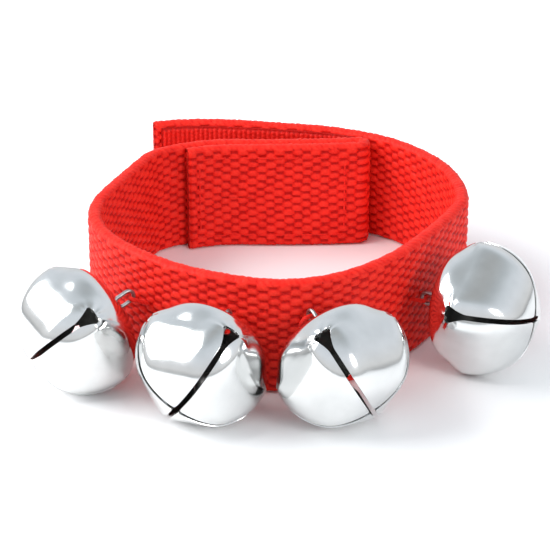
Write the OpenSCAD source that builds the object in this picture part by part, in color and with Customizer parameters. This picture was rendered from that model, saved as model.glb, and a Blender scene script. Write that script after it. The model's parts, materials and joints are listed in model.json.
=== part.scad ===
// Jingle bell wrist band: a strip of woven webbing bent into a ring and closed by hook and loop
// tape, with four slit bells that hang by wire loops from thread ties on the outside of the ring.
// The origin is the middle of the wrist opening, on the surface that the band stands on.
// +Z is up, -Y points to the side that carries the bells. Sizes are in millimetres.

/* [Webbing] */
// Width of the webbing, which is the height of the band as it stands
band_w = 20; // [19:0.5:22]
// Thickness of the webbing
band_t = 2; // [1.6:0.1:2]
// Length of the end that is folded back and sewn down
hem_l = 31; // [20:1:33]

/* [Closure] */
// Width of the hook tape and of the loop tape
tape_w = 18; // [12:1:18]
// Thickness of the hook tape with its hooks
hook_t = 0.8; // [0.6:0.1:0.8]
// Length of the hook tape
hook_l = 40; // [30:1:42]
// Thickness of the loop tape with its pile
loop_t = 1.2; // [0.8:0.1:1.2]
// Length of the loop tape
loop_l = 30; // [20:1:33]
// Length of one stitch
stitch_l = 1.8; // [1:0.1:2.2]

/* [Bells] */
// Radius of the bell over its four ridges
ridge_r = 10.8; // [10:0.1:10.8]
// Radius that the four petals are bent to
petal_r = 9.2; // [8.6:0.1:9.4]
// Height from the centre of a bell to the point where its petals meet
pole_h = 10.2; // [9.6:0.1:10.2]
// Height from the centre of a bell to its crown
crown_h = 6.8; // [6.4:0.1:6.8]
// Radius of the flattened crown
crown_r = 17.6; // [14:0.2:20]
// Thickness of the pressed sheet
shell_t = 0.4; // [0.3:0.05:0.5]
// Width of the slits between the petals
slit_w = 0.85; // [0.6:0.05:1]
// Radius of the keyhole at the end of each slit
keyhole_r = 1.5; // [1.1:0.1:1.6]
// Radius of the loose ball inside a bell
ball_r = 2.5; // [2:0.1:2.6]

/* [Attachment] */
// Radius of the wire that a bell's loop is bent from
wire_r = 0.4; // [0.3:0.05:0.4]
// Inside radius of the wire loop
eye_r = 1; // [0.9:0.05:1]
// Height of the loop's eye over the crown
eye_h = 1.9; // [1.7:0.1:1.9]
// Radius of a thread tie's bundle of threads
tie_r = 0.4; // [0.3:0.05:0.4]

/* [Hidden] */

$fn = 48;
fabric_red = [0.86, 0.09, 0.06];
tape_red = [0.72, 0.05, 0.04];
nickel = [0.86, 0.87, 0.88];

// The line of the webbing's mid-thickness, seen from above, as bends of [radius, angle].
// A positive angle turns left. The front runs clockwise from the right hinge to the left one,
// the outer arm runs on from the right hinge and the inner arm from the left one.
right_hinge = [32, 0, -92];
front_bends = [[9, -22], [100, -12], [31, -29], [17, -34], [38, -48], [19, -53]];
outer_bends = [[30, 80], [160, 7], [27, 24]];
inner_bends = [[220, -4.4], [8, -33.5], [25, -34], [155, 7.5]];
// Each bell as [x, y, z of its centre, azimuth and droop of its axis, swivel, station on the front]
bells = [
    [-30.3, -30.4, 10.2, -151, 23, 7, 72],
    [-10.8, -41.3, 10.2, -117, 26, 83, 56],
    [10.1, -41.8, 10.4, -56, 30, 10, 44],
    [32.6, -25.1, 10.8, -28, -2, 63, 21.5]
];

half_t = band_t / 2;
front_l = run(front_bends);
outer_l = run(outer_bends);
inner_l = run(inner_bends);
front_start = right_hinge;
outer_start = [right_hinge.x, right_hinge.y, right_hinge.z + 180];
inner_start = station(front_start, front_bends, front_l);

edge_step = 1.5;          // between two points of an edge that bends
hinge_gap = 0.15;         // between the front length's end and the rounded end of an arm
knot_r = 1.75 * tie_r;    // at the corners of a tie
tie_lift = 0.1;           // between a tie's inner knots and the webbing
tie_clear = 0.05;         // round a tie's leg in the webbing
tie_half = 1.3;           // half the spacing of a tie's two legs
tape_z = (band_w - tape_w) / 2;
hook_inset = 1.2;         // from the webbing's cut end to the hook tape
loop_inset = 1;           // from the fold to the loop tape
fold_gap = 0.1;           // between the inner arm and its hem
fold_r = band_t + fold_gap;
tape_gap = 0.05;          // between a tape and the webbing
stitch_w = 0.4;
stitch_h = 0.25;
stitch_pitch = stitch_l + 0.7;
stitch_edge = 2.4;        // from the webbing's edge to the row of stitches

petal_z = petal_r - pole_h;
ball_orbit = petal_r - shell_t - ball_r - 0.15;
leg_x = eye_r + wire_r;
crown_hole_r = leg_x + wire_r + 0.1;
foot_x = 3;
foot_z = crown_h - shell_t - wire_r - 0.4;

// Length of one bend, and of the first n bends
function bend_length(bend) = bend[0] * abs(bend[1]) * PI / 180;
function run(bends, n = undef) =
    let (last = is_undef(n) ? len(bends) : n)
    last == 0 ? 0 : bend_length(bends[last - 1]) + run(bends, last - 1);

// Place and heading at the end of one bend that starts at a pose of [x, y, heading]
function bend_end(pose, r, a) =
    let (side = sign(a), h = pose[2], k = h + a)
    [pose[0] + side * r * (sin(k) - sin(h)), pose[1] - side * r * (cos(k) - cos(h)), k];

// Pose at a length s along a line of bends
function station(pose, bends, s, i = 0) =
    let (n = bend_length(bends[i]), r = bends[i][0], a = bends[i][1])
    s <= n || i == len(bends) - 1
        ? bend_end(pose, r, a * s / n)
        : station(bend_end(pose, r, a), bends, s - n, i + 1);

module at_pose(pose) {
    translate([pose[0], pose[1], 0]) rotate(pose[2]) children();
}

// The point that lies v to the left of a pose
function beside(pose, v) = [pose[0] - v * sin(pose[2]), pose[1] + v * cos(pose[2])];

// Points that lie v to the left of a line of bends, from length s0 to s1
function edge(pose, bends, s0, s1, v) =
    let (steps = ceil(abs(s1 - s0) / edge_step))
    [for (k = [0 : steps]) beside(station(pose, bends, s0 + k * (s1 - s0) / steps), v)];

// Points of an arc about a point, from angle a0 to a1
function arc(centre, r, a0, a1) =
    let (steps = 16)
    [for (k = [0 : steps])
        let (a = a0 + k * (a1 - a0) / steps) centre + r * [cos(a), sin(a)]];

// A strip along a line of bends, from length s0 to s1, v0 to v1 left of the line and z0 to z1 high
module strip(pose, bends, s0, s1, v0, v1, z0, z1) {
    translate([0, 0, z0]) linear_extrude(z1 - z0)
        polygon(concat(edge(pose, bends, s0, s1, v0), edge(pose, bends, s1, s0, v1)));
}

module rod(from, to, r) {
    d = to - from;
    translate(from)
        rotate([0, acos(d.z / norm(d)), atan2(d.y, d.x)])
            cylinder(r = r, h = norm(d));
}

// Direction of a bell's axis, from its crown to its pole
function axis_of(bell) =
    [cos(bell[4]) * cos(bell[3]), cos(bell[4]) * sin(bell[3]), -sin(bell[4])];
function centre_of(bell) = [bell[0], bell[1], bell[2]];
function eye_of(bell) = centre_of(bell) - (crown_h + eye_h) * axis_of(bell);
// Level direction across a bell's axis, which the bell tilts about
function level_of(bell) = [sin(bell[3]), -cos(bell[3]), 0];

// Where one leg of a tie starts, inside the band, and ends, beside the eye
function leg_in(bell, side) =
    let (p = station(front_start, front_bends, bell[6]), h = p[2], v = -half_t - knot_r - tie_lift)
    [p[0] - v * sin(h) + side * tie_half * cos(h),
     p[1] + v * cos(h) + side * tie_half * sin(h),
     band_w / 2];
function leg_out(bell, side) = eye_of(bell) + side * tie_half * level_of(bell);

module tie_leg(bell, side, r) {
    rod(leg_in(bell, side), leg_out(bell, side), r);
}

module webbing_front() {
    color(fabric_red) difference() {
        strip(front_start, front_bends, half_t + hinge_gap, front_l - half_t - hinge_gap,
              -half_t, half_t, 0, band_w);
        for (bell = bells, side = [-1, 1])
            tie_leg(bell, side, tie_r + tie_clear);
    }
}

// The rounded end of an arm, about its hinge
function knuckle(pose) = arc([pose[0], pose[1]], half_t, pose[2] + 90, pose[2] + 270);

module webbing_outer_arm() {
    outline = concat(
        edge(outer_start, outer_bends, 0, outer_l, -half_t),
        edge(outer_start, outer_bends, outer_l, 0, half_t),
        knuckle(outer_start));
    color(fabric_red) linear_extrude(band_w) polygon(outline);
}

// The inner arm with its end folded back on the wrist's side
module webbing_inner_arm() {
    end = station(inner_start, inner_bends, inner_l);
    outline = concat(
        edge(inner_start, inner_bends, 0, inner_l, -half_t),
        edge(inner_start, inner_bends, inner_l, inner_l - hem_l, -half_t - fold_gap),
        edge(inner_start, inner_bends, inner_l - hem_l, inner_l, -half_t - fold_r),
        arc(beside(end, -half_t - fold_gap / 2), band_t + fold_gap / 2, end[2] - 90, end[2] + 90),
        edge(inner_start, inner_bends, inner_l, 0, half_t),
        knuckle(inner_start));
    color(fabric_red) linear_extrude(band_w) polygon(outline);
}

// The outer arm runs anticlockwise, so its inside is on the left of its line
module hook_tape() {
    color(tape_red)
        strip(outer_start, outer_bends, outer_l - hook_inset - hook_l, outer_l - hook_inset,
              half_t + tape_gap, half_t + hook_t, tape_z, band_w - tape_z);
}

module loop_tape() {
    color(tape_red)
        strip(inner_start, inner_bends, inner_l - loop_inset - loop_l, inner_l - loop_inset,
              half_t + tape_gap, half_t + loop_t, tape_z, band_w - tape_z);
}

// Stitches in a rectangle from s0 to s1, standing on the face at v, on the side that dir names
module stitch_box(pose, bends, s0, s1, v, dir) {
    rise = band_w - 2 * stitch_edge;
    along = floor((s1 - s0) / stitch_pitch);
    across = floor(rise / stitch_pitch) - 1;
    near = dir > 0 ? v : v - stitch_h;
    for (z = [stitch_edge, band_w - stitch_edge], k = [0 : along - 1])
        at_pose(station(pose, bends, s0 + (k + 0.5) * (s1 - s0) / along))
            translate([-stitch_l / 2, near, z - stitch_w / 2]) cube([stitch_l, stitch_h, stitch_w]);
    for (s = [s0, s1], k = [1 : across])
        at_pose(station(pose, bends, s))
            translate([-stitch_w / 2, near, stitch_edge + k * rise / (across + 1) - stitch_l / 2])
                cube([stitch_w, stitch_h, stitch_l]);
}

module hook_tape_stitching() {
    color(fabric_red)
        stitch_box(outer_start, outer_bends, outer_l - hook_inset - hook_l + 1.5,
                   outer_l - hook_inset - 1.5, -half_t - 0.02, -1);
}

module loop_tape_stitching() {
    color(fabric_red)
        stitch_box(inner_start, inner_bends, inner_l - hem_l + 2, inner_l - loop_inset - 1.5,
                   -half_t - fold_r - 0.02, -1);
}

// A round knot where two threads meet, with its seam turned away from both
module knot(at, one, other) {
    a = (one - at) / norm(one - at);
    b = (other - at) / norm(other - at);
    x = -(a + b) / norm(a + b);
    z = cross(a, b) / norm(cross(a, b));
    y = cross(z, x);
    multmatrix([[x.x, y.x, z.x, at.x], [x.y, y.y, z.y, at.y], [x.z, y.z, z.z, at.z], [0, 0, 0, 1]])
        sphere(r = knot_r);
}

// A closed ring of thread: two legs through the webbing, a bar inside it and one through the eye
module thread_tie(bell) {
    corners = [leg_in(bell, -1), leg_out(bell, -1), leg_out(bell, 1), leg_in(bell, 1)];
    color(fabric_red) union() {
        for (i = [0 : 3]) {
            rod(corners[i], corners[(i + 1) % 4], tie_r);
            knot(corners[i], corners[(i + 3) % 4], corners[(i + 1) % 4]);
        }
    }
}

// Puts a bell's own frame in place: its centre at the origin and its crown towards +Z
module at_bell(bell, swivel) {
    translate(centre_of(bell))
        rotate([0, bell[4] - 90, bell[3]])
            rotate(swivel) children();
}

// The round vault that two facing petals are bent to
module vault(inset, turn) {
    rotate(turn) translate([0, 0, petal_z]) rotate([90, 0, 0])
        cylinder(r = petal_r - inset, h = 4 * ridge_r, center = true, $fn = 96);
}

// The bell's outer form, or the same form with the sheet's thickness taken off all round
module bell_form(inset) {
    intersection() {
        sphere(r = ridge_r - inset, $fn = 96);
        vault(inset, 0);
        vault(inset, 90);
        translate([0, 0, crown_h - crown_r]) sphere(r = crown_r - inset, $fn = 96);
    }
}

module bell_shell(bell) {
    color(nickel) at_bell(bell, bell[5]) difference() {
        bell_form(0);
        bell_form(shell_t);
        for (turn = [45, 135]) rotate(turn) {
            translate([-ridge_r - 1, -slit_w / 2, -pole_h - 1])
                cube([2 * ridge_r + 2, slit_w, pole_h + 1]);
            rotate([0, 90, 0]) cylinder(r = keyhole_r, h = 2 * ridge_r + 2, center = true);
        }
        translate([0, 0, crown_h - shell_t - 2]) cylinder(r = crown_hole_r, h = 4);
    }
}

// A wire bent to a U through the crown's hole, with its two feet splayed under the crown
module bell_loop(bell) {
    color(nickel) at_bell(bell, 0) union() {
        translate([0, 0, crown_h + eye_h]) rotate([90, 0, 0])
            rotate_extrude(angle = 180) translate([leg_x, 0]) circle(r = wire_r);
        for (side = [-1, 1]) {
            rod([side * leg_x, 0, foot_z], [side * leg_x, 0, crown_h + eye_h], wire_r);
            rod([side * leg_x, 0, foot_z], [side * foot_x, 0, foot_z], wire_r);
            translate([side * leg_x, 0, foot_z]) sphere(r = wire_r);
        }
    }
}

// The loose ball, at the lowest place that it rolls to round the inside of its bell
module clapper(bell) {
    color("silver") at_bell(bell, 0)
        translate([-ball_orbit, 0, petal_z]) sphere(r = ball_r);
}

webbing_front();
webbing_outer_arm();
webbing_inner_arm();
hook_tape();
loop_tape();
hook_tape_stitching();
loop_tape_stitching();
for (i = [1 : 4]) {
    thread_tie(bells[i - 1]);
    bell_loop(bells[i - 1]);
    bell_shell(bells[i - 1]);
    clapper(bells[i - 1]);
}
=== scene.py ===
"""Looks of a jingle bell wrist band: woven webbing, hook and loop tape, and four pressed bells.

Lengths are in millimetres until a mesh is made. Bells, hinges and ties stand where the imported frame
has them, and the bends of the webbing repeat those of the CAD model.
"""

import json
import math

import bmesh
import bpy
import numpy as np
from mathutils import Matrix, Vector


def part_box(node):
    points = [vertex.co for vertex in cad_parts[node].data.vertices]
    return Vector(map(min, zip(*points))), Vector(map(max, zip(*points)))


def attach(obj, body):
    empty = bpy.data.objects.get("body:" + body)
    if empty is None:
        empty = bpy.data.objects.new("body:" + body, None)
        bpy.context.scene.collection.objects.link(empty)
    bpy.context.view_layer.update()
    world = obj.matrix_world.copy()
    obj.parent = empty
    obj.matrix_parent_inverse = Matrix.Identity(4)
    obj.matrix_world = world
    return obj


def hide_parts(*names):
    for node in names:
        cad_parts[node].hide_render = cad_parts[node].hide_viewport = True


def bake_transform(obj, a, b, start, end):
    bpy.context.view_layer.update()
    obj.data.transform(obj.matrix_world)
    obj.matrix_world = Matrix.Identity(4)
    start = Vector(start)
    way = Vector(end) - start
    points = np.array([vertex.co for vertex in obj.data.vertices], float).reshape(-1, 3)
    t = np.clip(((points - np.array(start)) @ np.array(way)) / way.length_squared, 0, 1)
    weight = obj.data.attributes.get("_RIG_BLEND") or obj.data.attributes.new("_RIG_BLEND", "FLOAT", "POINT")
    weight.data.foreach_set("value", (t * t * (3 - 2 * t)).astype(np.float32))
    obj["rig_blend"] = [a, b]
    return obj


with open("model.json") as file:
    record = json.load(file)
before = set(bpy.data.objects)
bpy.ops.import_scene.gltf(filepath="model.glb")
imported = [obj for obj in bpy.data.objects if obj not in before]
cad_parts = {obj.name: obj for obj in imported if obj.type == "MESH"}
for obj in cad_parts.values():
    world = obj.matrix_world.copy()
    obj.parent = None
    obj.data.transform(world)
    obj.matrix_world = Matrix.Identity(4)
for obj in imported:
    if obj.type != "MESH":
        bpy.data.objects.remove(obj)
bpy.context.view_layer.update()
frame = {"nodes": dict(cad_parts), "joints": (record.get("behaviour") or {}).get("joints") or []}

MM = 0.001

# ---- Driving dimensions ----

BAND_W = (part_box("webbing_front")[1][2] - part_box("webbing_front")[0][2]) / MM
WEB_HALF = 0.92          # half the webbing's thickness under its weave
EDGE_H = 0.8             # height left for each rounded edge
HEM_L = 31.0
FOLD_R = 1.2             # of the mid-thickness line where the inner end folds back
BEND_HALF = 6.0          # how far on each side of a hinge the webbing bends

# The webbing's line seen from above, in bends of (radius, degrees to the left)
FRONT = [(9, -22), (100, -12), (31, -29), (17, -34), (38, -48), (19, -53)]
OUTER = [(30, 80), (160, 7), (27, 24)]
INNER = [(220, -4.4), (8, -33.5), (25, -34), (155, 7.5)]
OUTER_HEADING = 88       # degrees, where the outer arm leaves its hinge

ROWS = 23                # yarns across the webbing
ROW_POINTS = 5           # points of the mesh across a yarn
EDGE_POINTS = 5          # points round an edge
FLOAT_PERIOD = 3.25      # from one float to the next of the same yarn
FLOAT_HALF_L = 0.93
FLOAT_HALF_W = 0.58
WEAVE_H = 0.27           # how far a float stands out

HOOK_L = 40.0
HOOK_INSET = 1.2         # from the webbing's outer end
LOOP_L = 30.0
LOOP_INSET = 1.0         # from the fold
TAPE_W = 18.0
TAPE_TEXTURE_H = 0.35    # of the hooks and the loops
HOOK_ROW = 0.9           # from one row of hooks to the next
HOOK_GAP = 0.75          # from one hook to the next in a row

STITCH_L = 1.8
STITCH_PITCH = 2.5
STITCH_INSET = 1.5       # from a tape's end
STITCH_EDGE = 2.4        # from the webbing's edge
STITCH_R = 0.17
TIE_R = 0.19             # radius of one strand
TIE_STRANDS = 4
TIE_TWISTS = 5           # turns of the strands round one another
TIE_HALF = 1.3           # half the tie's width
TIE_DEPTH = 1.5          # how far behind the webbing's line the tie lies

BELL_RIDGE = 10.8        # radius of the ball that rounds the ridges
BELL_PETAL = 9.2         # radius of the two crossed vaults of the petals
BELL_CUP = 10.1          # radius of the round cup on the crown's side
BELL_POLE = 10.2         # from the bell's centre to where its slits cross
BELL_CROWN = 6.8         # from the centre to the crown's top
BELL_CROWN_R = 17.6      # radius of the crown's flat dome
BELL_SHEET = 0.4
BELL_TURNS = [7, 83, 10, 63]     # degrees that each bell is turned on its loop
SLIT_HALF = 0.42
KEYHOLE_HALF = 1.45
KEYHOLE_NECK = 77.0      # degrees from the pole where a slit starts to widen
KEYHOLE_WIDE = 93.0      # where it is widest
KEYHOLE_END = 96.5
PETAL_TIP = 4.5          # degrees from the pole
PETAL_COLUMNS = 37       # points across a petal
CREASE_H = 0.085
CROWN_HOLE = 1.6         # radius

WIRE_R = 0.32
EYE_R = 0.95             # of the wire loop's arch, to the middle of the wire
EYE_H = 1.9              # from the crown to the arch's centre
FOOT_BEND = 0.5          # radius of the bend above a foot of the loop
FOOT_REACH = 2.9         # from the bell's axis to the end of a foot


# ---- The webbing's line, seen from above ----

def joint(name):
    """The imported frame's entry for a joint."""
    return next(j for j in frame["joints"] if j["name"] == name)


def line_length(bends):
    return sum(radius * math.radians(abs(turn)) for radius, turn in bends)


def walk(start, bends, lengths):
    """Rows of x, y and heading in radians, at lengths along bends of (radius, turn to the left)."""
    x, y, heading = start
    lengths = np.asarray(lengths, float)
    places = np.zeros((len(lengths), 3))
    begun = 0.0
    for radius, turn in bends:
        turn = math.radians(turn)
        side = math.copysign(1, turn)
        angle = heading + (lengths - begun) * side / radius
        here = lengths >= begun
        places[here, 0] = x + side * radius * (np.sin(angle[here]) - math.sin(heading))
        places[here, 1] = y - side * radius * (np.cos(angle[here]) - math.cos(heading))
        places[here, 2] = angle[here]
        x += side * radius * (math.sin(heading + turn) - math.sin(heading))
        y -= side * radius * (math.cos(heading + turn) - math.cos(heading))
        heading += turn
        begun += radius * abs(turn)
    return places


def backwards(bends):
    return [(radius, -turn) for radius, turn in reversed(bends)]


def line_start():
    """The outer arm's free end, where the line of the whole strip starts, turned into the strip."""
    hinge = joint("outer_arm_opening")["pos_m"]
    start = (hinge[0] / MM, hinge[1] / MM, math.radians(OUTER_HEADING))
    x, y, heading = walk(start, OUTER, [line_length(OUTER)])[0]
    return x, y, heading + math.pi


# The hem runs back beside the inner arm, on its right, so each bend's radius changes by the gap
HEM_GAP = 2 * FOLD_R
HEM = [(radius + math.copysign(HEM_GAP, turn), -turn) for radius, turn in reversed(INNER)]
STRIP = backwards(OUTER) + FRONT + INNER + [(FOLD_R, -180)] + HEM
START = line_start()
OUTER_END = line_length(OUTER)
INNER_START = OUTER_END + line_length(FRONT)
FOLD_START = INNER_START + line_length(INNER)
HEM_START = FOLD_START + math.pi * FOLD_R
STRIP_END = HEM_START + HEM_L
# Where the webbing's two meshes meet, on the front and a whole number of floats from the end
SEAM = FLOAT_PERIOD * round((OUTER_END + 55) / FLOAT_PERIOD)


def on_line(lengths, left, heights):
    """Points that lie left of the strip's line at lengths along it; all three are arrays."""
    places = walk(START, STRIP, lengths)
    x = places[:, 0] - left * np.sin(places[:, 2])
    y = places[:, 1] + left * np.cos(places[:, 2])
    return np.stack([x, y, heights], axis=1)


def level_directions(heading):
    """Unit vectors along the line and to its left, for a heading in radians."""
    ahead = np.array([math.cos(heading), math.sin(heading), 0])
    left = np.array([-math.sin(heading), math.cos(heading), 0])
    return ahead, left


# ---- Meshes ----

def new_object(name, points, faces, material, smooth=True):
    """Links a new object to the scene; its points are given in mm."""
    mesh = bpy.data.meshes.new(name)
    mesh.from_pydata((np.asarray(points) * MM).tolist(), [], faces)
    mesh.update()
    mesh.polygons.foreach_set("use_smooth", [smooth] * len(mesh.polygons))
    obj = bpy.data.objects.new(name, mesh)
    bpy.context.scene.collection.objects.link(obj)
    obj.data.materials.append(material)
    return obj


def ring_faces(rings, around, closed=True):
    """Quads between rings of points, each ring closed or open."""
    index = np.arange(rings * around).reshape(rings, around)
    after = np.roll(index, -1, axis=1) if closed else index[:, 1:]
    here = index if closed else index[:, :-1]
    quads = np.stack([here[:-1], after[:-1], after[1:], here[1:]], axis=-1)
    return quads.reshape(-1, 4).tolist()


def moved_faces(faces, by):
    """The same faces for points that stand further on in the list."""
    return [[corner + by for corner in face] for face in faces]


def turned_faces(faces):
    """The same faces, looking the other way."""
    return [face[::-1] for face in faces]


def joined(parts):
    """One list of points and one of faces from several."""
    points = []
    faces = []
    count = 0
    for some_points, some_faces in parts:
        points.append(some_points)
        faces += moved_faces(some_faces, count)
        count += len(some_points)
    return np.concatenate(points), faces


def add_cloth(obj, relief, lengths, heights, code):
    """Stores what the yarn materials read: the relief, which paints shade, and each point's place on the
    cloth.
    """
    attributes = obj.data.attributes
    values = attributes.new("relief", "FLOAT", "POINT").data
    values.foreach_set("value", np.asarray(relief, np.float32))
    cloth = np.stack([lengths, heights, code], axis=1)
    values = attributes.new("cloth", "FLOAT_VECTOR", "POINT").data
    values.foreach_set("vector", np.asarray(cloth, np.float32).ravel())


def unit_rows(rows):
    return rows / np.linalg.norm(rows, axis=1)[:, None]


def path_directions(path, closed):
    if closed:
        return unit_rows(np.roll(path, -1, axis=0) - np.roll(path, 1, axis=0))
    return unit_rows(np.gradient(path, axis=0))


def tube(path, radius, sides, closed=False):
    """Points and faces of a round tube along a path, with rounded ends unless it is closed."""
    path = np.asarray(path, float)
    along = path_directions(path, closed)
    across = np.cross(along[0], [0.3, 0.2, 0.93])     # no tube here starts in that direction
    angles = np.linspace(0, 2 * math.pi, sides, endpoint=False)[:, None]
    rings = []
    for place, ahead in zip(path, along):
        across = across - ahead * (across @ ahead)
        across /= np.linalg.norm(across)
        third = np.cross(ahead, across)
        rings.append(place + radius * (np.cos(angles) * across + np.sin(angles) * third))
    if not closed:
        rings = tapered(rings[0], path[0], -along[0], radius)[::-1] + rings
        rings += tapered(rings[-1], path[-1], along[-1], radius)
    faces = ring_faces(len(rings), sides)
    last = (len(rings) - 1) * sides
    if closed:
        faces += [[last + k, last + (k + 1) % sides, (k + 1) % sides, k] for k in range(sides)]
    else:
        faces += [list(range(sides))[::-1], list(range(last, last + sides))]
    return np.concatenate(rings), faces


def tapered(ring, centre, outwards, radius):
    """Two smaller rings that round off the end of a tube."""
    return [centre + (ring - centre) * size + outwards * radius * reach
            for size, reach in ((0.8, 0.55), (0.35, 0.9))]


# ---- Webbing ----

def weave_height(lengths, heights, flip):
    """Relief of the floats, 0 in the gaps and 1 on top, at points of one face of the webbing.

    Each row's floats lie half a period from those of the next row, and flip does the same for the
    other face. Sines make the rows wander and the floats differ a little in place and size.
    """
    pitch = (BAND_W - 2 * EDGE_H) / ROWS
    wander = 0.07 * np.sin(lengths / 5.3 + heights / 3) + 0.04 * np.sin(lengths / 1.9 + heights)
    across = (heights - EDGE_H + wander) / pitch
    relief = np.zeros_like(lengths)
    for step in (-1, 0, 1):
        row = np.floor(across) + step
        jitter = 0.16 * np.sin(row * 12.9898 + flip * 4.1)
        along = (lengths + jitter) / FLOAT_PERIOD + (row + flip) / 2
        column = np.round(along)
        size = 1 + 0.09 * np.sin(row * 5.31 + column * 9.73 + flip)
        share_along = (along - column) * FLOAT_PERIOD / (FLOAT_HALF_L * size)
        share_across = (across - row - 0.5) * pitch / (FLOAT_HALF_W * size)
        bulge = 1 - np.abs(share_along) ** 4 - np.abs(share_across) ** 2.4
        relief = np.maximum(relief, np.sqrt(np.clip(bulge, 0, 1)) * size)
    return relief


def webbing_section():
    """Rows of the points round a section: left of the line, height, two outward parts and a code.

    The code is 0 and 1 on the left and right faces, 2 and 3 on the upper and lower edges.
    """
    face_up = np.linspace(EDGE_H, BAND_W - EDGE_H, ROWS * ROW_POINTS + 1)
    ones = np.ones(len(face_up))
    face = [WEB_HALF * ones, face_up, ones, 0 * ones, 0 * ones]
    turn = np.linspace(0, math.pi, EDGE_POINTS + 2)[1:-1]
    edge = [WEB_HALF * np.cos(turn), BAND_W - EDGE_H + 0.8 * EDGE_H * np.sin(turn),
            np.cos(turn), np.sin(turn), np.full(EDGE_POINTS, 2.0)]
    left, up, out_left, out_up, code = np.hstack([face, edge])
    half_turn = [-left, BAND_W - up, -out_left, -out_up, code + 1]
    return np.hstack([[left, up, out_left, out_up, code], half_turn])


def webbing_stations(first, last):
    """Lengths of the rings of a webbing piece: nine to a float's period, closer in the fold."""
    step = FLOAT_PERIOD / 9
    steps = np.arange(round(first / step), math.floor(last / step) + 1) * step
    fold = np.linspace(FOLD_START - 0.4, HEM_START + 0.4, 26)
    steps = steps[(steps < fold[0] - 0.1) | (steps > fold[-1] + 0.1)]
    if first < FOLD_START < last:
        steps = np.concatenate([steps, fold])
    ends = [end for end in (first, last) if np.min(np.abs(steps - end)) > 0.05]
    return np.sort(np.concatenate([steps, ends]))


def webbing_relief(lengths, heights, out_left, code):
    """Relief of the floats on the faces, and of the yarns that turn over the edges."""
    left_face = weave_height(lengths, heights, 0)
    right_face = weave_height(lengths, heights, 1)
    slant = lengths / FLOAT_PERIOD * 3 + out_left * 0.6 + 0.3 * np.sin(lengths / 2.7)
    yarns = np.abs(np.cos(math.pi * slant)) ** 0.6 * (0.8 + 0.2 * np.sin(lengths * 1.7))
    return np.where(code >= 2, 0.15 + 0.85 * yarns, np.where(code == 0, left_face, right_face))


def webbing_points(lengths, left, up, out_left, out_up, relief):
    """The section's points moved outwards by the relief, less inside the fold and at the ends."""
    in_fold = (lengths > FOLD_START - 0.6) & (lengths < HEM_START + 0.6)
    rise = WEAVE_H * np.where(in_fold & (out_left < 0.5), 0.05, 1.0)
    from_end = np.minimum(lengths, STRIP_END - lengths)
    thickness = 0.35 + 0.65 * np.sqrt(np.clip(from_end / 0.5, 0, 1))
    offset = (left + out_left * rise * relief) * thickness
    sway = 0.06 * np.sin(lengths / 7.1) + 0.03 * np.sin(lengths / 2.3 + 1)
    height = up + out_up * 0.2 * (relief - 0.4) + np.where(up > BAND_W / 2, sway - 0.10, 0.0)
    return on_line(lengths, offset, height)


def end_faces(start):
    """Faces across the end of a webbing piece, at the ring of points that starts at an index."""
    face_points = ROWS * ROW_POINTS + 1
    half = face_points + EDGE_POINTS
    left = list(range(start, start + face_points))
    upper = list(range(start + face_points, start + half))
    right = list(range(start + half, start + half + face_points))[::-1]
    lower = list(range(start + half + face_points, start + 2 * half))
    rungs = [[left[k], left[k + 1], right[k + 1], right[k]] for k in range(face_points - 1)]
    return rungs + [[left[-1], *upper, right[-1]], [right[0], *lower, left[0]]]


def webbing(name, first, last, material):
    """A piece of the strip from first to last along its line, closed only at the strip's ends."""
    section = webbing_section()
    around = section.shape[1]
    stations = webbing_stations(first, last)
    lengths = np.repeat(stations, around)
    left, up, out_left, out_up, code = np.tile(section, len(stations))
    relief = webbing_relief(lengths, up, out_left, code)
    points = webbing_points(lengths, left, up, out_left, out_up, relief)
    faces = ring_faces(len(stations), around)
    if first == 0:
        faces += end_faces(0)
    if last == STRIP_END:
        faces += turned_faces(end_faces(len(points) - around))
    obj = new_object(name, points, faces, material)
    add_cloth(obj, relief, lengths, up, code)
    return obj


# ---- Hook and loop tape ----

def tape(name, first, last, outer, texture, spacing, material):
    """A tape on the webbing's face, from first to last along the line and up to outer mm left of it.

    Its outer face has a texture, sampled at a spacing along and across.
    """
    stations = np.arange(first, last + spacing[0] / 2, spacing[0])
    low = (BAND_W - TAPE_W) / 2
    rows_up = np.arange(low, BAND_W - low + spacing[1] / 2, spacing[1])
    rows = len(rows_up)
    lengths = np.repeat(stations, 2 * rows)
    up = np.tile(np.concatenate([rows_up, rows_up[::-1]]), len(stations))
    on_top = np.tile(np.repeat([1.0, 0.0], rows), len(stations))
    from_edge = np.minimum(np.minimum(up - rows_up[0], rows_up[-1] - up),
                           np.minimum(lengths - stations[0], stations[-1] - lengths))
    relief = texture(lengths, up) * np.clip(from_edge / 0.4 - 0.6, 0, 1)
    top = abs(outer) - TAPE_TEXTURE_H * (1 - relief)
    side = math.copysign(1, outer)
    points = on_line(lengths, side * np.where(on_top > 0, top, WEB_HALF), up)
    cap = [[k, k + 1, 2 * rows - 2 - k, 2 * rows - 1 - k] for k in range(rows - 1)]
    faces = ring_faces(len(stations), 2 * rows) + cap
    faces += moved_faces(turned_faces(cap), len(points) - 2 * rows)
    if side < 0:
        faces = turned_faces(faces)
    obj = new_object(name, points, faces, material)
    add_cloth(obj, relief, lengths, up, on_top)
    return obj


def hook_rows(lengths, heights):
    """Rows of short hooks: ridges across the tape, notched between one hook and the next."""
    rows = lengths / HOOK_ROW
    ridge = 0.5 + 0.5 * np.cos(2 * math.pi * rows)
    notch = 0.5 + 0.5 * np.cos(2 * math.pi * (heights / HOOK_GAP + np.floor(rows + 0.5) / 2))
    return 0.35 + 0.65 * ridge * (0.6 + 0.4 * notch)


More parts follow.
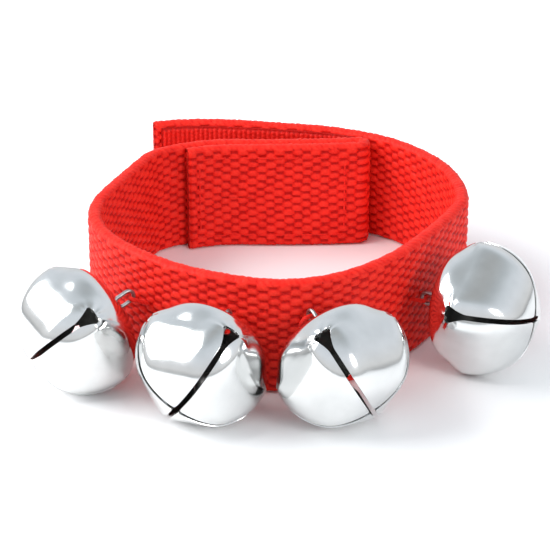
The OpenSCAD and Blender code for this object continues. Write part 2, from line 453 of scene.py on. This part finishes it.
def loop_pile(lengths, heights):
    """An uneven nap of small loops: crossed waves of (waves per mm, direction, shift)."""
    nap = np.zeros_like(lengths)
    for stretch, turn, shift in ((3.1, 0.4, 0), (4.7, 1.3, 2), (6.9, 2.2, 5), (9.7, 2.9, 1)):
        across = lengths * math.cos(turn) + heights * math.sin(turn)
        along = heights * math.cos(turn) - lengths * math.sin(turn)
        nap += np.sin(across * stretch + shift + 1.7 * np.sin(along * stretch * 0.6))
    return np.clip(0.5 + nap / 5, 0, 1)


# ---- Thread ----

def stitch(place, height, upright):
    """One stitch on the left face of the strip, which dips into the face at both ends."""
    x, y, heading = walk(START, STRIP, [place])[0]
    ahead, left = level_directions(heading)
    along = np.array([0, 0, 1.0]) if upright else ahead
    centre = np.array([x, y, height]) + left * (WEB_HALF + WEAVE_H)
    share = np.linspace(-1, 1, 9)
    dip = 0.02 + 0.2 * np.abs(share) ** 4
    path = centre + np.outer(share * STITCH_L / 2, along) - np.outer(dip, left)
    return tube(path, STITCH_R, 8)


def stitching(name, first, last, material):
    """A rectangle of stitches on the left face, from first to last along the strip."""
    parts = []
    along = math.floor((last - first) / STITCH_PITCH)
    for height in (STITCH_EDGE, BAND_W - STITCH_EDGE):
        for k in range(along):
            place = first + (k + 0.5) * (last - first) / along
            parts.append(stitch(place, height, upright=False))
    rise = BAND_W - 2 * STITCH_EDGE
    across = math.floor(rise / STITCH_PITCH) - 1
    for place in (first, last):
        for k in range(1, across + 1):
            height = STITCH_EDGE + k * rise / (across + 1)
            parts.append(stitch(place, height, upright=True))
    return new_object(name, *joined(parts), material)


def smooth_ring(corners, radius):
    """A closed path through corners, each rounded by an arc-like curve."""
    path = []
    for k, corner in enumerate(corners):
        before = corners[k - 1] - corner
        after = corners[(k + 1) % len(corners)] - corner
        start = corner + before / np.linalg.norm(before) * radius
        end = corner + after / np.linalg.norm(after) * radius
        for share in np.linspace(0, 1, 7):
            path.append((1 - share) ** 2 * start + 2 * share * (1 - share) * corner
                        + share ** 2 * end)
    return np.array(path)


def evenly(path, spacing):
    """The same closed path with points at even spacing."""
    closed = np.vstack([path, path[:1]])
    reach = np.concatenate([[0], np.cumsum(np.linalg.norm(np.diff(closed, axis=0), axis=1))])
    wanted = np.linspace(0, reach[-1], max(12, round(reach[-1] / spacing)), endpoint=False)
    return np.stack([np.interp(wanted, reach, closed[:, k]) for k in range(3)], axis=1)


def tie_route(number):
    """The closed middle line of a tie, and a direction that it never takes."""
    swing = joint(f"bell_{number}_swing")
    eye = np.array(swing["pos_m"]) / MM
    level = np.array(swing["axis"])
    places = walk(START, STRIP, np.linspace(OUTER_END, INNER_START, 400))
    nearest = np.argmin(np.hypot(places[:, 0] - eye[0], places[:, 1] - eye[1]))
    x, y, heading = places[nearest]
    ahead, left = level_directions(heading)
    inside = np.array([x, y, BAND_W / 2]) - left * TIE_DEPTH
    if ahead @ level < 0:
        ahead = -ahead
    corners = [inside - TIE_HALF * ahead, eye - TIE_HALF * level,
               eye + TIE_HALF * level, inside + TIE_HALF * ahead]
    return evenly(smooth_ring(corners, 0.6), 0.22), np.cross(left, ahead) - 0.2 * left


def thread_tie(number, material):
    """Strands of sewing thread that go through the webbing and through the bell's loop."""
    path, elsewhere = tie_route(number)
    along = path_directions(path, closed=True)
    side = unit_rows(np.cross(along, elsewhere))
    third = np.cross(along, side)
    wind = np.linspace(0, 2 * math.pi * TIE_TWISTS, len(path), endpoint=False)[:, None]
    parts = []
    for strand in range(TIE_STRANDS):
        angle = wind + 2 * math.pi * strand / TIE_STRANDS
        offset = (TIE_R + 0.02) * (np.cos(angle) * side + np.sin(angle) * third)
        parts.append(tube(path + offset, TIE_R, 7, closed=True))
    tie = new_object(f"thread_tie_{number}_strands", *joined(parts), material)
    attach(tie, "band")
    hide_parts(f"thread_tie_{number}")


# ---- Bells ----

def ray_length(ways, centre, radius, axes=(1, 1, 1)):
    """How far each ray from the origin runs to a ball, or to a cylinder, which lacks one axis."""
    ways = ways * np.array(axes)
    centre = np.array(centre) * np.array(axes)
    a = np.maximum((ways ** 2).sum(-1), 1e-9)
    b = ways @ centre
    c = centre @ centre - radius ** 2
    return (b + np.sqrt(np.maximum(b * b - a * c, 0))) / a


def softest(reaches, softness):
    """The least of several reaches, with the edges between them rounded."""
    return sum(reach ** -softness for reach in reaches) ** (-1 / softness)


def smooth_step(share):
    share = np.clip(share, 0, 1)
    return share * share * (3 - 2 * share)


def bell_reach(ways):
    """From the bell's centre to its outer surface: crossed vaults at the petals, a round cup above."""
    vault = (0, 0, BELL_PETAL - BELL_POLE)
    crown = ray_length(ways, (0, 0, BELL_CROWN - BELL_CROWN_R), BELL_CROWN_R)
    petals = softest([ray_length(ways, (0, 0, 0), BELL_RIDGE),
                      ray_length(ways, vault, BELL_PETAL, (0, 1, 1)),
                      ray_length(ways, vault, BELL_PETAL, (1, 0, 1)), crown], 50)
    cup = softest([ray_length(ways, vault, BELL_CUP), crown], 30)
    share = smooth_step((ways[..., 2] + 0.05) / 0.5)
    return petals * (1 - share) + cup * share


def opening_half(angle):
    """Half the width of the slit, and of the keyhole at its end, at degrees from the pole."""
    grow = np.clip((angle - KEYHOLE_NECK) / (KEYHOLE_WIDE - KEYHOLE_NECK), 0, 1)
    width = SLIT_HALF + (KEYHOLE_HALF - SLIT_HALF) * grow ** 1.5
    close = np.clip((angle - KEYHOLE_WIDE) / (KEYHOLE_END - KEYHOLE_WIDE), 0, 1)
    return width * (1 - close ** 3) ** (1 / 3)


def petal_rows():
    """Degrees from the pole of the rows of points of a petal, close together where it is cut."""
    crown_hole = 180 - math.degrees(math.atan2(CROWN_HOLE, BELL_CROWN))
    shut = KEYHOLE_END - KEYHOLE_WIDE
    return np.concatenate([
        PETAL_TIP + 7 * np.linspace(0, 1, 9) ** 1.6,
        np.linspace(PETAL_TIP + 8, KEYHOLE_NECK, 40),
        np.linspace(KEYHOLE_NECK + 1, KEYHOLE_WIDE, 16),
        KEYHOLE_WIDE + shut * np.sin(np.linspace(0, math.pi / 2, 9)[1:]),
        np.linspace(KEYHOLE_END + 0.8, 112, 18),
        np.linspace(114, crown_hole, 26),
    ])


def petal_ways():
    """Directions from the bell's centre to the points of the petal towards +X, row by row."""
    rows = petal_rows()
    across = np.sin(np.linspace(-1, 1, PETAL_COLUMNS) * math.pi / 2)
    slit = np.clip(opening_half(rows) / (BELL_RIDGE * np.sin(np.radians(rows))), 0, 0.99)
    tip = np.clip((rows - PETAL_TIP) / 5, 0, 1)
    half = (45 - np.degrees(np.arcsin(slit))) * (0.5 + 0.5 * np.sqrt(1 - (1 - tip) ** 2))
    turns = np.radians(np.outer(half, across))
    angles = np.repeat(np.radians(rows)[:, None], PETAL_COLUMNS, axis=1)
    ways = np.stack([np.sin(angles) * np.cos(turns), np.sin(angles) * np.sin(turns),
                     -np.cos(angles)], axis=-1)
    return ways.reshape(-1, 3)


def wrinkled(ways, reach):
    """Adds the creases that pressing leaves round each keyhole, on the crown's side of it."""
    for k in range(4):
        turn = math.radians(45 + 90 * k)
        out = np.array([math.cos(turn), math.sin(turn), 0.02])
        across = np.array([-math.sin(turn), math.cos(turn), 0])
        x = (ways @ across) * reach
        y = ways[:, 2] * reach
        near = (ways @ out) > 0.6
        span = np.hypot(x, y)
        fan = np.arctan2(x, y)
        fade = np.clip((span - 1.2) / 0.5, 0, 1) * np.clip((4.0 - span) / 2.2, 0, 1)
        fade *= np.clip((1.9 - np.abs(fan)) / 0.6, 0, 1) * near
        reach = reach + CREASE_H * fade * np.cos(fan * 9 + 0.8 * np.sin(fan * 3 + k))
    return reach


def weld(mesh):
    """Joins points that coincide and turns all faces outwards."""
    shape = bmesh.new()
    shape.from_mesh(mesh)
    bmesh.ops.remove_doubles(shape, verts=shape.verts, dist=0.004 * MM)
    bmesh.ops.recalc_face_normals(shape, faces=shape.faces)
    shape.to_mesh(mesh)
    shape.free()


def thicken(obj):
    """Replaces an object by its mesh as sheet metal, with the edges of the cuts rounded."""
    wall = obj.modifiers.new("wall", "SOLIDIFY")
    wall.thickness = BELL_SHEET * MM
    wall.offset = -1
    wall.material_offset = 1
    round_off = obj.modifiers.new("round_off", "BEVEL")
    round_off.width = 0.12 * MM
    round_off.segments = 2
    round_off.limit_method = "ANGLE"
    round_off.angle_limit = math.radians(50)
    applied = bpy.data.meshes.new_from_object(
        obj.evaluated_get(bpy.context.evaluated_depsgraph_get()))
    bpy.data.objects.remove(obj)
    return applied


def bell_mesh(outside, inside):
    """The pressed shell in the bell's own frame: four petals that join above their keyholes."""
    quarter = petal_ways()
    faces = ring_faces(len(petal_rows()), PETAL_COLUMNS, closed=False)
    parts = []
    for k in range(4):
        turn = np.array(Matrix.Rotation(math.radians(90 * k), 3, "Z"))
        ways = quarter @ turn.T
        reach = wrinkled(ways, bell_reach(ways))
        parts.append((ways * reach[:, None], faces))
    obj = new_object("bell_pattern", *joined(parts), outside)
    obj.data.materials.append(inside)
    weld(obj.data)
    return thicken(obj)


def bell_place(number):
    """From a bell's own frame to the object's, with the bell's crown towards +Z in its own."""
    swivel = joint(f"bell_{number}_swivel")
    crownwards = Vector(swivel["axis"])
    azimuth = math.atan2(-crownwards.y, -crownwards.x)
    droop = math.asin(crownwards.z)
    return (Matrix.Translation(Vector(swivel["pos_m"])) @ Matrix.Rotation(azimuth, 4, "Z")
            @ Matrix.Rotation(droop - math.pi / 2, 4, "Y"))


def bell(number, pattern):
    """One bell: a copy of the pattern, turned on its loop."""
    turn = Matrix.Rotation(math.radians(BELL_TURNS[number - 1]), 4, "Z")
    mesh = pattern.copy()
    mesh.transform(bell_place(number) @ turn)
    shell = bpy.data.objects.new(f"bell_shell_{number}_pressed", mesh)
    bpy.context.scene.collection.objects.link(shell)
    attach(shell, f"bell_{number}")
    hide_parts(f"bell_shell_{number}")


def bell_loop(number, material):
    """The wire loop: an arch through the crown's hole, with two feet splayed under the crown."""
    foot = BELL_CROWN - BELL_SHEET - WIRE_R - 0.4
    top = BELL_CROWN + EYE_H
    arch = [(EYE_R * math.cos(a), 0, top + EYE_R * math.sin(a))
            for a in np.linspace(0, math.pi, 17)]
    bend = [(EYE_R + FOOT_BEND * (1 - math.cos(a)), 0, foot + FOOT_BEND * (1 - math.sin(a)))
            for a in np.linspace(math.pi / 2, 0, 7)]
    right = [(FOOT_REACH, 0, foot)] + bend + [(EYE_R, 0, foot + 1.2)]
    left = [(-x, y, z) for x, y, z in reversed(right)]
    points, faces = tube(right + arch + left, WIRE_R, 14)
    loop = new_object(f"bell_loop_{number}_wire", points, faces, material)
    loop.data.transform(bell_place(number))
    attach(loop, f"loop_{number}")
    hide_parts(f"bell_loop_{number}")


# ---- Materials ----

def new_material(name):
    """A material, its node tree and its Principled shader."""
    material = bpy.data.materials.new(name)
    material.use_nodes = True
    tree = material.node_tree
    return material, tree, tree.nodes["Principled BSDF"]


def node(tree, kind, inputs=None, **settings):
    """Adds a node; an input is given a value, or the socket of another node to read."""
    made = tree.nodes.new(kind)
    for key, value in settings.items():
        setattr(made, key, value)
    for key, value in (inputs or {}).items():
        if isinstance(value, bpy.types.NodeSocket):
            tree.links.new(value, made.inputs[key])
        else:
            made.inputs[key].default_value = value
    return made


def ramp(tree, fac, stops):
    """A colour ramp with stops of (position, (red, green, blue))."""
    made = node(tree, "ShaderNodeValToRGB", {"Fac": fac})
    made.color_ramp.elements[0].position = stops[0][0]
    made.color_ramp.elements[1].position = stops[-1][0]
    for position, _ in stops[1:-1]:
        made.color_ramp.elements.new(position)
    for element, (_, colour) in zip(made.color_ramp.elements, stops):
        element.color = (*colour, 1)
    return made.outputs["Color"]


def paint(tree, shader, fac, stops):
    """Colours a shader by a ramp."""
    tree.links.new(ramp(tree, fac, stops), shader.inputs["Base Color"])


def grey(level):
    return (level, level, level)


def object_place(tree):
    """The texture coordinates that are lengths on the object, in metres."""
    return node(tree, "ShaderNodeTexCoord").outputs["Object"]


def stretched(tree, source, scale):
    """Texture coordinates from a socket, scaled along each axis."""
    return node(tree, "ShaderNodeMapping", {"Vector": source, "Scale": scale}).outputs["Vector"]


def noise(tree, vector, scale, detail=2.0):
    made = node(tree, "ShaderNodeTexNoise", {"Vector": vector, "Scale": scale, "Detail": detail})
    return made.outputs["Fac"]


def spread(tree, shader, value, low, high, start=0.0, end=1.0):
    """Roughness from low to high while a value goes from start to end."""
    made = node(tree, "ShaderNodeMapRange", {"Value": value, "From Min": start, "From Max": end,
                                             "To Min": low, "To Max": high})
    tree.links.new(made.outputs["Result"], shader.inputs["Roughness"])


def bump(tree, height, strength, distance, below=None):
    """A bump of a depth in mm, on top of another where one is given."""
    inputs = {"Height": height, "Strength": strength, "Distance": distance * MM}
    if below is not None:
        inputs["Normal"] = below
    return node(tree, "ShaderNodeBump", inputs).outputs["Normal"]


def yarn_material(name, stops, fibre_scale, roughness, sheen):
    """Dyed yarn with painted shade in the deep weave, and fine fibres along the yarn."""
    material, tree, shader = new_material(name)
    cloth = node(tree, "ShaderNodeAttribute", attribute_name="cloth").outputs["Vector"]
    relief = node(tree, "ShaderNodeAttribute", attribute_name="relief").outputs["Fac"]
    fuzz = noise(tree, object_place(tree), 2400)
    patches = noise(tree, stretched(tree, cloth, (0.9, 1.2, 1)), 1.0, 3.0)
    mottle = node(tree, "ShaderNodeMath", {0: patches, 1: fuzz}, operation="ADD")
    lift = node(tree, "ShaderNodeMath", {0: mottle.outputs[0], 1: 0.7, 2: -0.7},
                operation="MULTIPLY_ADD")
    # Painted shade: low relief darkens the gaps of the weave; the mottle adds random tone.
    shade = node(tree, "ShaderNodeMath", {0: relief, 1: lift.outputs[0]}, operation="ADD")
    paint(tree, shader, shade.outputs[0], stops)
    fibres = noise(tree, stretched(tree, cloth, fibre_scale), 1.0)
    spread(tree, shader, fibres, roughness - 0.08, roughness + 0.12)
    fuzzy = bump(tree, fuzz, 0.7, 0.2)
    tree.links.new(bump(tree, fibres, 0.5, 0.06, below=fuzzy), shader.inputs["Normal"])
    shader.inputs["Sheen Weight"].default_value = sheen
    shader.inputs["Sheen Roughness"].default_value = 0.4
    shader.inputs["Sheen Tint"].default_value = (1.0, 0.25, 0.2, 1)
    shader.inputs["Specular IOR Level"].default_value = 0.16
    return material


def thread_material():
    """Twisted sewing thread."""
    material, tree, shader = new_material("sewing_thread")
    twist = noise(tree, object_place(tree), 4000)
    paint(tree, shader, twist, [(0.3, (0.66, 0.010, 0.006)), (0.7, (0.82, 0.022, 0.012))])
    tree.links.new(bump(tree, twist, 0.6, 0.05), shader.inputs["Normal"])
    shader.inputs["Roughness"].default_value = 0.6
    shader.inputs["Sheen Weight"].default_value = 0.05
    shader.inputs["Specular IOR Level"].default_value = 0.16
    return material


def nickel_material():
    """Bright nickel plate with faint waves from pressing, smudges and small scratches."""
    material, tree, shader = new_material("nickel_plate")
    where = object_place(tree)
    smudge = noise(tree, where, 260, 3.0)
    paint(tree, shader, smudge, [(0.3, (0.71, 0.715, 0.71)), (0.7, (0.78, 0.785, 0.78))])
    spread(tree, shader, smudge, 0.10, 0.17, start=0.35, end=0.75)
    waves = bump(tree, noise(tree, where, 150, 1.0), 0.35, 0.5)
    scratches = noise(tree, stretched(tree, where, (900, 5200, 1600)), 1.0)
    tree.links.new(bump(tree, scratches, 0.05, 0.02, below=waves), shader.inputs["Normal"])
    shader.inputs["Metallic"].default_value = 1.0
    return material


def wire_material():
    """Drawn wire, duller than the plate."""
    material, tree, shader = new_material("drawn_wire")
    drawn = noise(tree, object_place(tree), 1500, 3.0)
    paint(tree, shader, drawn, [(0.3, grey(0.34)), (0.7, grey(0.50))])
    tree.links.new(bump(tree, drawn, 0.2, 0.03), shader.inputs["Normal"])
    shader.inputs["Metallic"].default_value = 1.0
    shader.inputs["Roughness"].default_value = 0.38
    return material


def bell_inside_material():
    """The unpolished inside of the sheet, a dark metal mottled darker and lighter."""
    material, tree, shader = new_material("bell_inside")
    # A noise mottles the dark base colour of the inside darker and lighter.
    inside_mottle = noise(tree, object_place(tree), 420, 4.0)
    paint(tree, shader, inside_mottle, [(0.3, (0.10, 0.10, 0.09)), (0.7, (0.20, 0.20, 0.19))])
    tree.links.new(bump(tree, inside_mottle, 0.2, 0.05), shader.inputs["Normal"])
    shader.inputs["Metallic"].default_value = 0.8
    shader.inputs["Roughness"].default_value = 0.5
    return material


def steel_material():
    """Plain steel of the balls, dulled and scratched by rolling in the bells."""
    material, tree, shader = new_material("rolled_steel")
    wear = noise(tree, object_place(tree), 900, 4.0)
    paint(tree, shader, wear, [(0.3, (0.30, 0.29, 0.28)), (0.7, (0.52, 0.51, 0.50))])
    spread(tree, shader, wear, 0.25, 0.55)
    tree.links.new(bump(tree, wear, 0.25, 0.05), shader.inputs["Normal"])
    shader.inputs["Metallic"].default_value = 1.0
    return material


# ---- Assembly ----

def make_webbing():
    """The strip in two meshes, each of which bends over one arm's hinge."""
    # Painted shade: the ramp darkens from the floats' tops down into the gaps of the weave.
    red = yarn_material("red_webbing", [(0.0, (0.44, 0.003, 0.002)), (0.4, (0.70, 0.010, 0.005)),
                                        (1.0, (0.84, 0.028, 0.015))], (1.2, 13, 1), 0.5, 0.08)
    right = webbing("webbing_outer_end_to_front", 0, SEAM, red)
    left = webbing("webbing_front_to_hem", SEAM, STRIP_END, red)
    for strip, arm, reach, armwards, nodes in (
            (right, "outer_arm", OUTER_END, -1, ["webbing_outer_arm", "webbing_front"]),
            (left, "inner_arm", INNER_START, 1, ["webbing_inner_arm"])):
        hinge = Vector(joint(f"{arm}_opening")["pos_m"])
        ahead, _ = level_directions(walk(START, STRIP, [reach])[0][2])
        half = BEND_HALF * MM * armwards * Vector(ahead)
        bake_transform(strip, "band", arm, start=tuple(hinge - half), end=tuple(hinge + half))
        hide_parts(*nodes)


def make_tapes():
    """The hooks inside the outer end, and the loops outside the inner end."""
    # Painted shade: the ramps darken between the hooks, between the loops and at the tapes' edges.
    nylon = yarn_material("hook_nylon", [(0.0, (0.40, 0.004, 0.002)), (0.5, (0.70, 0.012, 0.007)),
                                         (1.0, (0.84, 0.025, 0.015))], (9, 9, 1), 0.4, 0.05)
    pile = yarn_material("loop_pile", [(0.0, (0.28, 0.003, 0.002)), (0.5, (0.62, 0.009, 0.005)),
                                       (1.0, (0.82, 0.022, 0.012))], (7, 7, 1), 0.7, 0.2)
    hooks = tape("hook_tape_nylon", HOOK_INSET, HOOK_INSET + HOOK_L, -1.8,
                 hook_rows, (0.18, 0.15), nylon)
    loops = tape("loop_tape_pile", FOLD_START - LOOP_INSET - LOOP_L, FOLD_START - LOOP_INSET, 2.2,
                 loop_pile, (0.16, 0.16), pile)
    for piece, arm, old in ((hooks, "outer_arm", "hook_tape"), (loops, "inner_arm", "loop_tape")):
        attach(piece, arm)
        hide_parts(old)


def make_thread():
    """The stitches that hold the tapes, and the ties of the bells."""
    thread = thread_material()
    outer = stitching("hook_tape_stitches", HOOK_INSET + STITCH_INSET,
                      HOOK_INSET + HOOK_L - STITCH_INSET, thread)
    hem = stitching("loop_tape_stitches", HEM_START + LOOP_INSET + STITCH_INSET,
                    STRIP_END - 2, thread)
    for piece, arm, old in ((outer, "outer_arm", "hook_tape_stitching"),
                            (hem, "inner_arm", "loop_tape_stitching")):
        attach(piece, arm)
        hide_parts(old)
    for number in range(1, 5):
        thread_tie(number, thread)


def make_bells():
    """The shells and wire loops; the balls are the CAD's own, in steel."""
    steel = steel_material()
    wire = wire_material()
    pattern = bell_mesh(nickel_material(), bell_inside_material())
    for number in range(1, 5):
        bell(number, pattern)
        bell_loop(number, wire)
        ball = frame["nodes"][f"clapper_{number}"]
        for place in ball.material_slots:
            place.material = steel


# ---- Studio ----

def make_floor():
    material, _, shader = new_material("studio_floor")
    shader.inputs["Base Color"].default_value = (0.97, 0.97, 0.97, 1)
    shader.inputs["Roughness"].default_value = 0.8
    shader.inputs["Specular IOR Level"].default_value = 0.1
    corners = [(-3000, -3000, 0), (3000, -3000, 0), (3000, 3000, 0), (-3000, 3000, 0)]
    floor = new_object("floor", corners, [[0, 1, 2, 3]], material, smooth=False)


def make_world():
    """A soft grey room, darker low down and overhead, which the bells reflect."""
    world = bpy.data.worlds.new("studio")
    world.use_nodes = True
    tree = world.node_tree
    where = node(tree, "ShaderNodeTexCoord").outputs["Generated"]
    height = node(tree, "ShaderNodeSeparateXYZ", {"Vector": where}).outputs["Z"]
    sky = ramp(tree, height, [(0.0, (0.36, 0.37, 0.38)), (0.12, (0.68, 0.69, 0.70)),
                              (0.5, (0.70, 0.74, 0.79)), (0.75, (0.62, 0.67, 0.72)),
                              (0.9, (0.46, 0.50, 0.53)), (1.0, (0.40, 0.42, 0.43))])
    backdrop = tree.nodes["Background"]
    tree.links.new(sky, backdrop.inputs["Color"])
    backdrop.inputs["Strength"].default_value = 1.2
    bpy.context.scene.world = world


def softbox(name, place, size, power):
    """A rectangular area light at a place in mm, aimed at the bells; its size is width and height."""
    light = bpy.data.lights.new(name, "AREA")
    light.shape = "RECTANGLE"
    light.size = size[0] * MM
    light.size_y = size[1] * MM
    light.energy = power
    obj = bpy.data.objects.new(name, light)
    obj.location = Vector(place) * MM
    aim = Vector((0, -20, 10))
    obj.rotation_euler = (aim - Vector(place)).to_track_quat("-Z", "Y").to_euler()
    bpy.context.scene.collection.objects.link(obj)


def aloft(azimuth, elevation, distance):
    """A point seen from the origin at degrees to the right of the front and above the floor."""
    turn = math.radians(azimuth)
    lift = math.radians(elevation)
    level = distance * math.cos(lift)
    return level * math.sin(turn), -level * math.cos(turn), distance * math.sin(lift)


def make_lights():
    """A large softbox on the left, which the bells reflect, and a small one on the right."""
    softbox("key_softbox", aloft(-88, 38, 500), (430, 360), 3.0)
    softbox("right_softbox", aloft(38, 27, 600), (160, 160), 1.0)


def make_camera():
    """A long lens, looking down at the bells from the front; its shift frames the photograph."""
    camera = bpy.data.cameras.new("camera")
    camera.sensor_width = 36
    camera.lens = 136.964
    camera.shift_x = 0.0018
    camera.shift_y = -0.054
    camera.clip_start = 0.01
    obj = bpy.data.objects.new("camera", camera)
    tilt = math.radians(25.5)
    away = 0.36
    obj.location = (0, -away * math.cos(tilt), 0.01 + away * math.sin(tilt))
    obj.rotation_euler = (math.pi / 2 - tilt, 0, 0)
    bpy.context.scene.collection.objects.link(obj)
    bpy.context.scene.camera = obj


make_camera()
make_webbing()
make_tapes()
make_thread()
make_bells()
make_floor()
make_world()
make_lights()
bpy.context.scene.view_settings.view_transform = "Standard"
